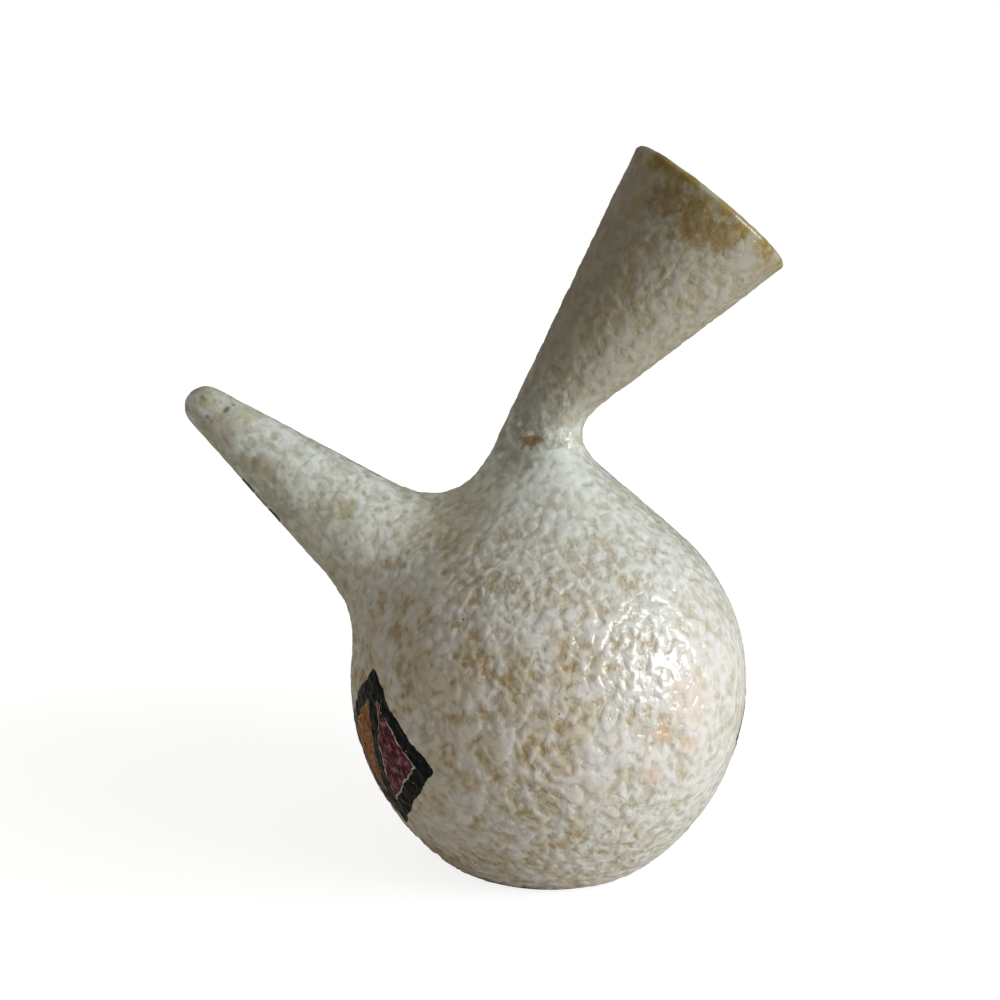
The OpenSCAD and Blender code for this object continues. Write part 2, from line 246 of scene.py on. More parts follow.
# Where the glaze has run together into smooth pools, or drawn back: (middle, radius, how much).
POOLS = [((0.0105, -0.0613, 0.0395), 0.013, 0.20), ((-0.0156, -0.0630, 0.0585), 0.007, 0.25),
         ((-0.0084, -0.0628, 0.0447), 0.008, -0.08), ((0.0571, -0.0236, 0.1959), 0.006, 0.30),
         ((0.0356, -0.0500, 0.0760), 0.011, 0.22), ((0.0035, -0.0130, 0.1330), 0.014, 0.18),
         ((0.040, 0.045, 0.075), 0.020, 0.16), ((0.055, 0.010, 0.045), 0.013, 0.25)]
POOL_FLAT = 0.3  # The share of a pool's radius over which it is full.

# Where the glaze of the neck, the horn and the lip begins and where it is full, along their own axes from
# the neck's root, the globe's middle and the lip.
NECK_FADE, HORN_FADE, LIP_FADE = (-0.007, 0.023), (0.062, 0.088), (-0.020, 0.0)
WANDER = 0.0024  # How far the edges of islands and pits wander.


def crawled_glaze(tree, place):
    """How the glaze lies at a place: (cover, pit, neck, horn, lip), each from 0 to 1. Cover is 1 on the white
    islands and 0 in the thin glaze between them, pit is 1 in a pit's middle, the rest are 1 on their part."""
    along_neck = add(tree, "ShaderNodeVectorMath", {0: place, 1: neck_axis}, operation="DOT_PRODUCT")
    up_neck = neck_root.dot(neck_axis)
    neck = add(tree, "ShaderNodeMapRange",
               {0: along_neck.outputs["Value"], 1: up_neck + NECK_FADE[0], 2: up_neck + NECK_FADE[1]},
               interpolation_type="SMOOTHSTEP")
    up_lip = up_neck + lip_h
    lip = add(tree, "ShaderNodeMapRange",
              {0: along_neck.outputs["Value"], 1: up_lip + LIP_FADE[0], 2: up_lip + LIP_FADE[1]},
              interpolation_type="SMOOTHSTEP")
    along_horn = add(tree, "ShaderNodeVectorMath", {0: place, 1: horn_axis}, operation="DOT_PRODUCT")
    up_belly = BELLY_Z * horn_axis.z
    out_there = add(tree, "ShaderNodeMapRange",
                    {0: along_horn.outputs["Value"], 1: up_belly + HORN_FADE[0], 2: up_belly + HORN_FADE[1]},
                    interpolation_type="SMOOTHSTEP")
    off_neck = add(tree, "ShaderNodeMath", {0: 1.0, 1: neck.outputs[0]}, operation="SUBTRACT")
    horn = add(tree, "ShaderNodeMath", {0: out_there.outputs[0], 1: off_neck.outputs[0]},
               operation="MULTIPLY")

    # The islands are about 3 mm across, with wandering edges, in drifts of about 14 mm.
    wander = add(tree, "ShaderNodeTexNoise", {"Vector": place, "Scale": MM / 4.5, "Detail": 1.0})
    either_way = add(tree, "ShaderNodeVectorMath", {0: wander.outputs["Color"], 1: (0.5, 0.5, 0.5)},
                     operation="SUBTRACT")
    drift = add(tree, "ShaderNodeVectorMath", {0: either_way.outputs[0], "Scale": WANDER}, operation="SCALE")
    bent = add(tree, "ShaderNodeVectorMath", {0: place, 1: drift.outputs[0]}, operation="ADD")
    grain = add(tree, "ShaderNodeTexNoise",
                {"Vector": bent.outputs[0], "Scale": MM / 3.0, "Detail": 0.8, "Roughness": 0.5})
    broad = add(tree, "ShaderNodeTexNoise", {"Vector": place, "Scale": MM / 14, "Detail": 2.0})
    lie = add(tree, "ShaderNodeMath", {0: broad.outputs["Fac"], 1: 0.7, 2: grain.outputs["Fac"]},
              operation="MULTIPLY_ADD")
    thicker = add(tree, "ShaderNodeMath", {0: horn.outputs[0], 1: 0.05, 2: lie.outputs[0]},
                  operation="MULTIPLY_ADD")
    pool = thicker.outputs[0]
    for at, radius, more in POOLS:
        gone = add(tree, "ShaderNodeVectorMath", {0: place, 1: at}, operation="DISTANCE")
        near = add(tree, "ShaderNodeMapRange",
                   {0: gone.outputs["Value"], 1: radius, 2: radius * POOL_FLAT, 4: more},
                   interpolation_type="SMOOTHSTEP")
        pool = add(tree, "ShaderNodeMath", {0: near.outputs[0], 1: pool}, operation="ADD").outputs[0]
    cover = add(tree, "ShaderNodeMapRange", {0: pool, 1: 0.62, 2: 1.08}, interpolation_type="SMOOTHSTEP")

    # The pits are round hollows of many sizes and the crevices between lumps, and the pools close them.
    cells = add(tree, "ShaderNodeTexVoronoi",
                {"Vector": bent.outputs[0], "Scale": MM / 3.2, "Smoothness": 0.15}, feature="SMOOTH_F1")
    chance = add(tree, "ShaderNodeSeparateXYZ", {0: cells.outputs["Color"]})
    size = add(tree, "ShaderNodeMapRange", {0: chance.outputs[0], 3: 0.10, 4: 0.52})
    inside = add(tree, "ShaderNodeMath", {0: size.outputs[0], 1: cells.outputs["Distance"]},
                 operation="SUBTRACT")
    hollow = add(tree, "ShaderNodeMapRange", {0: inside.outputs[0], 1: -0.08, 2: 0.38},
                 interpolation_type="SMOOTHSTEP")
    lumps = add(tree, "ShaderNodeTexNoise", {"Vector": bent.outputs[0], "Scale": MM / 5.5, "Detail": 1.0})
    off_edge = add(tree, "ShaderNodeMath", {0: lumps.outputs["Fac"], 1: 0.5}, operation="SUBTRACT")
    either_side = add(tree, "ShaderNodeMath", {0: off_edge.outputs[0]}, operation="ABSOLUTE")
    crevice = add(tree, "ShaderNodeMapRange", {0: either_side.outputs[0], 1: 0.11, 2: 0.0, 4: 0.65},
                  interpolation_type="SMOOTHSTEP")
    deeper = add(tree, "ShaderNodeMath", {0: hollow.outputs[0], 1: crevice.outputs[0]}, operation="MAXIMUM")
    opened = add(tree, "ShaderNodeMapRange", {0: pool, 1: 1.0, 2: 1.2, 3: 1.0, 4: 0.15})
    pit = add(tree, "ShaderNodeMath", {0: deeper.outputs[0], 1: opened.outputs[0]}, operation="MULTIPLY")
    return cover.outputs[0], pit.outputs[0], neck.outputs[0], horn.outputs[0], lip.outputs[0]


# The smooth right side begins and is full at these distances from the globe's middle, and the smooth place
# at the neck's root is full and ends at these distances from its own.
RIGHT_FADE = (0.030, 0.056)
ROOT_AT, ROOT_FADE = (0.002, -0.012, 0.122), (0.016, 0.042)


def evenly_laid(tree, place, neck, horn):
    """How evenly the glaze lies: 0 on the rough belly, near 1 on the horn, at the neck's root and on the
    right side."""
    across = add(tree, "ShaderNodeSeparateXYZ", {0: place})
    to_right = add(tree, "ShaderNodeMapRange",
                   {0: across.outputs[0], 1: RIGHT_FADE[0], 2: RIGHT_FADE[1], 4: 0.75})
    off_neck = add(tree, "ShaderNodeMath", {0: 1.0, 1: neck}, operation="SUBTRACT")
    right = add(tree, "ShaderNodeMath", {0: to_right.outputs[0], 1: off_neck.outputs[0]},
                operation="MULTIPLY")
    gone = add(tree, "ShaderNodeVectorMath", {0: place, 1: ROOT_AT}, operation="DISTANCE")
    root = add(tree, "ShaderNodeMapRange",
               {0: gone.outputs["Value"], 1: ROOT_FADE[1], 2: ROOT_FADE[0], 4: 0.85})
    limb = add(tree, "ShaderNodeMath", {0: neck, 1: 0.45, 2: horn}, operation="MULTIPLY_ADD")
    sides = add(tree, "ShaderNodeMath", {0: right.outputs[0], 1: root.outputs[0]}, operation="MAXIMUM")
    calm = add(tree, "ShaderNodeMath", {0: sides.outputs[0], 1: limb.outputs[0]}, operation="MAXIMUM")
    return calm.outputs[0]


# The thin glaze and the pits are sunk into the skin: each point moves in along its normal.
PIT_DEPTH, THIN_PIT_DEPTH, THIN_SUNK = 0.00032, 0.00010, 0.00036
SWELL, LIP_THINNER, MOST_SUNK = 0.00030, 0.00030, 0.00084
EVEN_SHARE = 0.4  # How much of the relief is left at the lip and where the glaze lies even.
relief = bpy.data.node_groups.new("pitted_relief", "GeometryNodeTree")
relief.interface.new_socket("Geometry", in_out="INPUT", socket_type="NodeSocketGeometry")
relief.interface.new_socket("Geometry", in_out="OUTPUT", socket_type="NodeSocketGeometry")
start = relief.nodes.new("NodeGroupInput")
end = relief.nodes.new("NodeGroupOutput")
point = add(relief, "GeometryNodeInputPosition").outputs[0]
cover, pit, neck, horn, lip = crawled_glaze(relief, point)
low = add(relief, "ShaderNodeMath", {0: 1.0, 1: cover}, operation="SUBTRACT")
pit_depth = add(relief, "ShaderNodeMath", {0: low.outputs[0], 1: THIN_PIT_DEPTH, 2: PIT_DEPTH},
                operation="MULTIPLY_ADD")
hole = add(relief, "ShaderNodeMath", {0: pit, 1: pit_depth.outputs[0]}, operation="MULTIPLY")
sink = add(relief, "ShaderNodeMath", {0: low.outputs[0], 1: THIN_SUNK, 2: hole.outputs[0]},
           operation="MULTIPLY_ADD")
calm = add(relief, "ShaderNodeMapRange", {0: lip, 3: 1.0, 4: EVEN_SHARE})
smooth = add(relief, "ShaderNodeMapRange", {0: evenly_laid(relief, point, neck, horn), 3: 1.0, 4: EVEN_SHARE})
even = add(relief, "ShaderNodeMath", {0: calm.outputs[0], 1: smooth.outputs[0]}, operation="MULTIPLY")
calmed = add(relief, "ShaderNodeMath", {0: sink.outputs[0], 1: even.outputs[0]}, operation="MULTIPLY")
swell = add(relief, "ShaderNodeTexNoise", {"Vector": point, "Scale": MM / 7, "Detail": 1.0})
swollen = add(relief, "ShaderNodeMath", {0: swell.outputs["Fac"], 1: SWELL, 2: calmed.outputs[0]},
              operation="MULTIPLY_ADD")
thinner = add(relief, "ShaderNodeMath", {0: lip, 1: LIP_THINNER, 2: swollen.outputs[0]},
              operation="MULTIPLY_ADD")
uneven = add(relief, "ShaderNodeMath", {0: thinner.outputs[0], 1: MOST_SUNK}, operation="MINIMUM")
outwards = add(relief, "GeometryNodeInputNormal").outputs[0]
way = add(relief, "ShaderNodeVectorMath", {0: outwards, "Scale": uneven.outputs[0]}, operation="SCALE")
inwards = add(relief, "ShaderNodeVectorMath", {0: way.outputs[0], "Scale": -1.0}, operation="SCALE")
moved = add(relief, "GeometryNodeSetPosition", {"Geometry": start.outputs[0], "Offset": inwards.outputs[0]})
relief.links.new(moved.outputs[0], end.inputs[0])
applied(coat, "NODES", node_group=relief)
FACES_KEPT = 0.76  # The skin is finer than its relief needs, and the piece stays light.
applied(coat, "DECIMATE", ratio=FACES_KEPT)


def cut_and_turned_in(piece, at, away, share):
    """Cuts the skin off at a plane and turns its new edge in to the clay."""
    picked(piece)
    bpy.ops.object.mode_set(mode="EDIT")
    bpy.ops.mesh.select_all(action="SELECT")
    bpy.ops.mesh.bisect(plane_co=at, plane_no=away, clear_outer=True)
    bpy.ops.mesh.extrude_edges_move(TRANSFORM_OT_translate={"value": (0, 0, 0)})
    bpy.ops.transform.resize(value=(share, share, share), center_override=at)
    bpy.ops.object.mode_set(mode="OBJECT")


cut_and_turned_in(coat, (0, 0, FOOT_BARE), (0, 0, -1), 1 - COAT_T / FOOT_R)
cut_and_turned_in(coat, lip_at, neck_axis, 1 - COAT_T / neck_r_lip)
picked(coat)
bpy.ops.object.shade_smooth()

# Where another colour comes through the white, and patches of painted shade: (middle, radius, colour,
# strength). A later one lies on top.
STAINS_AND_SHADE = [
    # Thin taupe glaze at the left of the neck's root, darkened further as painted shade on the side away from
    # the window.
    ((-0.0040, -0.0088, 0.1490), 0.015, "#757061", 0.48),
    ((-0.0095, -0.0085, 0.1370), 0.014, "#7a7567", 0.45),
    # Honey-brown runs under the lip.
    ((0.0428, -0.0281, 0.2083), 0.015, "#836e41", 0.85), ((0.0330, -0.0237, 0.2136), 0.008, "#836e41", 0.8),
    ((0.0495, -0.0250, 0.2060), 0.012, "#836e41", 0.8),
    # A pink blush on the right of the globe.
    ((0.0404, -0.0502, 0.0677), 0.014, "#dcc5ae", 0.45), ((0.0316, -0.0568, 0.0599), 0.005, "#cf9f72", 0.55),
    ((0.0298, -0.0564, 0.0468), 0.006, "#d6ad8a", 0.4), ((0.0407, -0.0503, 0.0538), 0.005, "#d6ad8a", 0.45),
    # Olive and ochre patches on the horn, and dark specks at its tip.
    ((-0.1085, -0.0061, 0.1522), 0.005, "#a1955a", 0.6), ((-0.0950, -0.0048, 0.1473), 0.005, "#bdb883", 0.5),
    ((-0.1029, -0.0087, 0.1440), 0.010, "#a89c84", 0.5), ((-0.0899, -0.0120, 0.1309), 0.006, "#9a8a58", 0.5),
    ((-0.0643, -0.0160, 0.1195), 0.005, "#a3945c", 0.5),
    ((-0.0998, -0.0044, 0.1502), 0.0013, "#4a4838", 0.65),
    ((-0.1021, -0.0069, 0.1485), 0.0012, "#4a4838", 0.65),
    # The brown chip by the neck's root.
    ((-0.0062, -0.0086, 0.1393), 0.0037, "#6d5327", 0.9),
    ((-0.0066, -0.0085, 0.1393), 0.0022, "#94774f", 0.9),
    ((-0.0037, -0.0096, 0.1375), 0.0022, "#9a9660", 0.4),
    # A run under the lip at the back, and a darker yellowish patch between the horn and the neck, partly thin
    # glaze and partly painted shade in the hollow there.
    ((0.030, 0.030, 0.205), 0.014, "#836e41", 0.8), ((-0.0313, -0.0163, 0.1151), 0.024, "#c3ba92", 0.35),
    # Finer specks at the horn's tip.
    ((-0.1097, -0.0059, 0.1525), 0.0013, "#5c5636", 0.6),
    ((-0.1086, -0.0063, 0.1519), 0.0011, "#5c5636", 0.6),
    ((-0.1014, -0.0061, 0.1491), 0.0011, "#4a4838", 0.6),
    ((-0.1077, -0.0077, 0.1464), 0.0012, "#655c48", 0.55),
    ((-0.1066, -0.0080, 0.1450), 0.0011, "#655c48", 0.55)]
STAIN_EDGE, STAIN_CORE = 1.9, 1.2  # A stain's frayed edge and its full core, as shares of its radius.


def lip_tone(tree, place):
    """The glaze's colour at the lip, honey-brown in the runs and cloudy grey-white between, and its depth."""
    clouds = add(tree, "ShaderNodeTexNoise", {"Vector": place, "Scale": MM / 7, "Detail": 3.0})
    cloudy = add(tree, "ShaderNodeMapRange", {0: clouds.outputs["Fac"], 1: 0.40, 2: 0.66},
                 interpolation_type="SMOOTHSTEP")
    runs = add(tree, "ShaderNodeTexNoise", {"Vector": place, "Scale": MM / 2.2, "Detail": 3.0})
    amber = add(tree, "ShaderNodeMix", {0: runs.outputs["Fac"], 6: linear("#665228"), 7: linear("#b39a58")},
                data_type="RGBA")
    cloud = add(tree, "ShaderNodeMix", {0: cloudy.outputs[0], 6: amber.outputs[2], 7: linear("#aaa592")},
                data_type="RGBA")
    return cloud.outputs[2], runs.outputs["Fac"]


# The warmer, beige glaze begins and is full at these heights, going down, and at these places from right to
# left, where it is partly painted warm shade on the side away from the window. The neck's ochre begins and is
# full at these heights, going up.
LOWER_DOWN, SHADE_SIDE, UP_THERE = (0.122, 0.080), (0.034, 0.002), (0.150, 0.205)

# Crawled white majolica glaze: glossy, with cool white islands, beige glaze between them with ochre in the
# dips, taupe where it is thin on the neck, a honey-brown run under the lip and a few black specks.
white_glaze, tree, shader, place = finish_named("crawled_white_majolica_glaze")
cover, pit, neck, horn, lip = crawled_glaze(tree, place)
low = add(tree, "ShaderNodeMath", {0: 1.0, 1: cover}, operation="SUBTRACT")
even = evenly_laid(tree, place, neck, horn)
fleck = add(tree, "ShaderNodeTexNoise",
            {"Vector": place, "Scale": MM / 1.1, "Detail": 2.0, "Roughness": 0.6})
frayed = add(tree, "ShaderNodeTexNoise",
             {"Vector": place, "Scale": MM / 3.5, "Detail": 3.0, "Roughness": 0.6})
patchy = add(tree, "ShaderNodeTexNoise", {"Vector": place, "Scale": MM / 7.5, "Detail": 3.0})
patches = add(tree, "ShaderNodeMapRange", {0: patchy.outputs["Fac"], 1: 0.36, 2: 0.64},
              interpolation_type="SMOOTHSTEP")
side = add(tree, "ShaderNodeSeparateXYZ", {0: place})
lower_down = add(tree, "ShaderNodeMapRange", {0: side.outputs[2], 1: LOWER_DOWN[0], 2: LOWER_DOWN[1]})
shade_side = add(tree, "ShaderNodeMapRange",
                {0: side.outputs[0], 1: SHADE_SIDE[0], 2: SHADE_SIDE[1], 3: 0.2, 4: 1.0})
# worn is warmer lower down and on the left: partly the glaze's own tone, and partly painted warm shade away
# from the window.
worn = add(tree, "ShaderNodeMath", {0: lower_down.outputs[0], 1: shade_side.outputs[0]}, operation="MULTIPLY")

# The white islands, warmer in patches lower down and on the left, where this is partly painted warm shade,
# and the beige between them, both taupe on the neck.
white = add(tree, "ShaderNodeMix", {0: lower_down.outputs[0], 6: linear("#e4e9e2"), 7: linear("#e6e1de")},
            data_type="RGBA")
warm_patch = add(tree, "ShaderNodeMath", {0: patches.outputs[0], 1: worn.outputs[0]}, operation="MULTIPLY")
warm_share = add(tree, "ShaderNodeMath", {0: warm_patch.outputs[0], 1: 0.55}, operation="MULTIPLY")
warmed = add(tree, "ShaderNodeMix", {0: warm_share.outputs[0], 6: white.outputs[2], 7: linear("#c8b78f")},
             data_type="RGBA")
island = add(tree, "ShaderNodeMix", {0: neck, 6: warmed.outputs[2], 7: linear("#a9a497")}, data_type="RGBA")
beige = add(tree, "ShaderNodeMix", {0: worn.outputs[0], 6: linear("#cccbbd"), 7: linear("#cbbba2")},
            data_type="RGBA")
thinned = add(tree, "ShaderNodeMix", {0: patches.outputs[0], 6: linear("#d3d1c7"), 7: beige.outputs[2]},
              data_type="RGBA")
thin_neck = add(tree, "ShaderNodeMix", {0: neck, 6: thinned.outputs[2], 7: linear("#9b927f")},
                data_type="RGBA")
laid = add(tree, "ShaderNodeMix", {0: low.outputs[0], 6: island.outputs[2], 7: thin_neck.outputs[2]},
           data_type="RGBA")

# Ochre in the deepest dips, broken into grains, most lower down on the left and high on the neck.
depth = add(tree, "ShaderNodeMath", {0: pit, 1: 0.45, 2: low.outputs[0]}, operation="MULTIPLY_ADD")
dip = add(tree, "ShaderNodeMapRange", {0: depth.outputs[0], 1: 0.62, 2: 1.30},
          interpolation_type="SMOOTHSTEP")
up_there = add(tree, "ShaderNodeMapRange",
               {0: side.outputs[2], 1: UP_THERE[0], 2: UP_THERE[1], 3: 0.0, 4: 0.5})
low_left_and_neck_top = add(tree, "ShaderNodeMath", {0: worn.outputs[0], 1: up_there.outputs[0]}, operation="ADD")
most_ochre = add(tree, "ShaderNodeMapRange", {0: low_left_and_neck_top.outputs[0], 3: 0.28, 4: 1.0})
ochre_share = add(tree, "ShaderNodeMapRange", {0: patches.outputs[0], 3: 0.14, 4: most_ochre.outputs[0]})
broken = add(tree, "ShaderNodeMapRange", {0: fleck.outputs["Fac"], 1: 0.38, 2: 0.60, 3: 0.45, 4: 1.0})
grainy = add(tree, "ShaderNodeMath", {0: dip.outputs[0], 1: broken.outputs[0]}, operation="MULTIPLY")
ochre = add(tree, "ShaderNodeMath", {0: grainy.outputs[0], 1: ochre_share.outputs[0]}, operation="MULTIPLY")
earthy = add(tree, "ShaderNodeMix", {0: fleck.outputs["Fac"], 6: linear("#978745"), 7: linear("#bda06c")},
             data_type="RGBA")
dipped = add(tree, "ShaderNodeMix", {0: ochre.outputs[0], 6: laid.outputs[2], 7: earthy.outputs[2]},
             data_type="RGBA")

# A grey-brown tint in the pits, partly the thin glaze's colour and partly painted shade in the hollows,
# strongest on the horn and least where else the glaze lies even, and grey clouds on the horn.
most_tint = add(tree, "ShaderNodeMapRange", {0: even, 3: 0.30, 4: 0.08})
horn_tint = add(tree, "ShaderNodeMath", {0: horn, 1: 0.42, 2: most_tint.outputs[0]}, operation="MULTIPLY_ADD")
pit_tint_and_shade = add(tree, "ShaderNodeMath", {0: pit, 1: horn_tint.outputs[0]}, operation="MULTIPLY")
pitted = add(tree, "ShaderNodeMix", {0: pit_tint_and_shade.outputs[0], 6: dipped.outputs[2], 7: linear("#8f8362")},
             data_type="RGBA")
drifts = add(tree, "ShaderNodeMath", {0: frayed.outputs["Fac"], 1: 1.2, 2: patchy.outputs["Fac"]},
             operation="MULTIPLY_ADD")
grey_cloud = add(tree, "ShaderNodeMapRange", {0: drifts.outputs[0], 1: 1.02, 2: 1.36, 4: 0.5},
                 interpolation_type="SMOOTHSTEP")
on_the_horn = add(tree, "ShaderNodeMath", {0: grey_cloud.outputs[0], 1: horn}, operation="MULTIPLY")
clouded = add(tree, "ShaderNodeMix", {0: on_the_horn.outputs[0], 6: pitted.outputs[2], 7: linear("#b3b29d")},
              data_type="RGBA")

# The stains and the painted shade with their frayed edges, the run under the lip and the black specks.
tone = clouded.outputs[2]
for at, radius, colour, strength in STAINS_AND_SHADE:
    gone = add(tree, "ShaderNodeVectorMath", {0: place, 1: at}, operation="DISTANCE")
    ragged = add(tree, "ShaderNodeMath",
                 {0: frayed.outputs["Fac"], 1: radius * STAIN_EDGE, 2: gone.outputs["Value"]},
                 operation="MULTIPLY_ADD")
    near = add(tree, "ShaderNodeMapRange",
               {0: ragged.outputs[0], 1: radius * STAIN_EDGE, 2: radius * STAIN_CORE, 4: strength},
               interpolation_type="SMOOTHSTEP")
    stain_and_shade_mix = add(tree, "ShaderNodeMix", {0: near.outputs[0], 6: tone, 7: linear(colour)}, data_type="RGBA")
    tone = stain_and_shade_mix.outputs[2]
run_colour = lip_tone(tree, place)[0]
near_lip = add(tree, "ShaderNodeMath", {0: frayed.outputs["Fac"], 1: 0.5, 2: lip}, operation="MULTIPLY_ADD")
lip_share = add(tree, "ShaderNodeMapRange", {0: near_lip.outputs[0], 1: 1.05, 2: 1.24},
                interpolation_type="SMOOTHSTEP")
lipped = add(tree, "ShaderNodeMix", {0: lip_share.outputs[0], 6: tone, 7: run_colour}, data_type="RGBA")
specks = add(tree, "ShaderNodeTexVoronoi", {"Vector": place, "Scale": MM / 8})
lot = add(tree, "ShaderNodeSeparateXYZ", {0: specks.outputs["Color"]})
speck_size = add(tree, "ShaderNodeMapRange", {0: lot.outputs[1], 1: 0.5, 2: 1.0, 3: 0.0, 4: 0.06})
speck_in = add(tree, "ShaderNodeMath", {0: speck_size.outputs[0], 1: specks.outputs["Distance"]},
               operation="SUBTRACT")
speck = add(tree, "ShaderNodeMapRange", {0: speck_in.outputs[0], 1: 0.0, 2: 0.02, 4: 0.85})
specked = add(tree, "ShaderNodeMix", {0: speck.outputs[0], 6: lipped.outputs[2], 7: linear("#2f2a22")},
              data_type="RGBA")
tree.links.new(specked.outputs[2], shader.inputs["Base Color"])

# The relief that is too fine for the skin, and glassy islands between duller thin glaze.
skin_height = add(tree, "ShaderNodeMath", {0: pit, 1: -0.8, 2: cover}, operation="MULTIPLY_ADD")
grain_share = add(tree, "ShaderNodeMapRange", {0: low.outputs[0], 1: 0.1, 2: 0.9, 3: 0.3, 4: 2.4})
up_or_down = add(tree, "ShaderNodeMath", {0: fleck.outputs["Fac"], 1: 0.5}, operation="SUBTRACT")
fine_height = add(tree, "ShaderNodeMath",
                  {0: up_or_down.outputs[0], 1: grain_share.outputs[0], 2: skin_height.outputs[0]},
                  operation="MULTIPLY_ADD")
bumpy = add(tree, "ShaderNodeMapRange", {0: even, 3: 0.55, 4: 0.3})
bump = add(tree, "ShaderNodeBump",
           {"Height": fine_height.outputs[0], "Strength": bumpy.outputs[0], "Distance": 0.0003})
tree.links.new(bump.outputs["Normal"], shader.inputs["Normal"])
gloss = add(tree, "ShaderNodeMapRange", {0: low.outputs[0], 1: 0.1, 2: 0.9, 3: 0.03, 4: 0.22})
tree.links.new(gloss.outputs[0], shader.inputs["Roughness"])
dressed(coat, white_glaze)
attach(coat, "root")
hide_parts("outer_glaze", "neck_fillet", "horn_fillet")


# Lip. The thick glaze gathered on the neck's rounded edge, where it turned honey-brown and glassy in the
# fire. It closes the gap between the coat outside and the lining inside.
LIP_T = 0.00535
RIM_EDGE = [(0.0030, -0.00020), (0.0015, -0.00005), (0.0006, 0.00002)]  # Below the lip, out from the cone.
rim_outline = [(neck_r_lip - below * neck_slope + out, lip_h - below) for below, out in RIM_EDGE]
rim_outline += [(neck_r_lip - LIP_T * (1 - math.cos(a)) / 2, lip_h + LIP_RISE * math.sin(a))
                for a in [math.pi * i / 18 for i in range(19)]]
rim = turned("honey_lip", rim_outline, steps=240)
rim.rotation_euler = (0, NECK_TILT, 0)
rim.location = neck_root
picked(rim)
bpy.ops.object.transform_apply(location=True, rotation=True, scale=True)
applied(rim, "NODES", node_group=relief)
bpy.ops.object.shade_smooth()

# Honey and white lip glaze: wet-looking, honey-brown where it pooled and cloudy grey-white where it is thick.
honey, tree, shader, place = finish_named("honey_and_white_lip_glaze")
run_colour, run_depth = lip_tone(tree, place)
tree.links.new(run_colour, shader.inputs["Base Color"])
wavy = add(tree, "ShaderNodeBump", {"Height": run_depth, "Strength": 0.35, "Distance": 0.0003})
tree.links.new(wavy.outputs["Normal"], shader.inputs["Normal"])
shader.inputs["Roughness"].default_value = 0.1
dressed(rim, honey)
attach(rim, "root")
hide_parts("rim_glaze")


# Black strokes. Brushed outlines and middle bars of a frieze of five lozenges round the globe, and two bands
# round the horn. The enamel is a thin skin that follows each lump of the white coat it was fired onto.
LOZENGE_Z, LOZENGE_W, LOZENGE_H, BLUNT = 0.046, 0.027, 0.027, 0.0012
STROKE, BARE = 0.0055, 0.0001
FRIEZE_FROM, LOZENGE_STEP, LOZENGES = 32, 52, 5  # Degrees round the globe, and the count.
LOZENGE_TURNS = [math.radians(FRIEZE_FROM + LOZENGE_STEP * (i + 0.5)) for i in range(LOZENGES)]
BAND_FROM, BAND_W, BAND_TURN, BAND_SWEEP = 0.100, 0.006, math.radians(40), math.radians(172)
ENAMEL_T, ENAMEL_PROUD = 0.0004, 0.00013
SHEET_OFF, SHEET_CUTS, BAND_SPARE = 0.08, 144, 0.001  # How far off, and how fine, a sheet starts.
SWAY, SWAYS = 0.0009, 150  # How far a brushed edge sways, and how often in a metre.
BRISTLE, BRISTLES = 0.0003, 600  # The same for its fine bristle marks.
BAR_RIGHT, BAR_LEFT, BAND_ENDS = 9.0, 11.0, 20.0  # Seeds, so that each of these edges strays on its own.


def wobble(x, y, seed):
    """How far a brushed edge strays at a place."""
    slow = noise.noise(Vector((x * SWAYS, y * SWAYS, seed)))
    fine = noise.noise(Vector((x * BRISTLES, y * BRISTLES, seed)))
    return SWAY * slow + BRISTLE * fine


def trimmed(sheet, wanted):
    """Takes away the faces of a fine sheet that are not wanted, and evens out the stepped edge."""
    bpy.ops.object.mode_set(mode="EDIT")
    bpy.ops.mesh.select_mode(type="FACE")
    bpy.ops.mesh.select_all(action="DESELECT")
    bpy.ops.object.mode_set(mode="OBJECT")
    for face in sheet.data.polygons:
        face.select = not wanted(face.center)
    bpy.ops.object.mode_set(mode="EDIT")
    bpy.ops.mesh.delete(type="FACE")
    bpy.ops.mesh.select_mode(type="VERT")
    bpy.ops.mesh.select_all(action="SELECT")
    bpy.ops.mesh.region_to_loop()
    bpy.ops.mesh.vertices_smooth(factor=0.5, repeat=6)
    bpy.ops.object.mode_set(mode="OBJECT")


def laid_on_coat(sheet, **how):
    """Lays a sheet onto the coat and gives it its thickness."""
    applied(sheet, "SHRINKWRAP", target=coat, wrap_mode="ABOVE_SURFACE", offset=ENAMEL_PROUD, **how)
    applied(sheet, "SOLIDIFY", thickness=ENAMEL_T, offset=-1.0)
    bpy.ops.object.transform_apply(location=True, rotation=True, scale=True)
    bpy.ops.object.shade_smooth_by_angle(angle=math.radians(50))


def on_lozenge(turn, wanted):
    """One brushed patch of a lozenge. Of a place's x, its y and its depth from the edge, wanted says whether
    the patch covers it."""
    picked()
    bpy.ops.mesh.primitive_grid_add(x_subdivisions=SHEET_CUTS, y_subdivisions=SHEET_CUTS, size=2 * LOZENGE_W)
    sheet = bpy.context.object

    def covers(at):
        off_middle = abs(at.x) * LOZENGE_H, abs(at.y) * LOZENGE_W
        depth = (LOZENGE_W * LOZENGE_H - off_middle[0] - off_middle[1]) / math.hypot(LOZENGE_W, LOZENGE_H)
        blunted = min(LOZENGE_W - BLUNT - abs(at.x), LOZENGE_H - BLUNT - abs(at.y))
        return wanted(at.x, at.y, min(depth, blunted) + wobble(at.x, at.y, turn))

    trimmed(sheet, covers)
    sheet.rotation_euler = (math.pi / 2, 0, -turn)
    sheet.location = (-SHEET_OFF * math.sin(turn), -SHEET_OFF * math.cos(turn), LOZENGE_Z)
    laid_on_coat(sheet, wrap_method="PROJECT", use_project_z=True, use_negative_direction=True,
                 use_positive_direction=False)
    return sheet


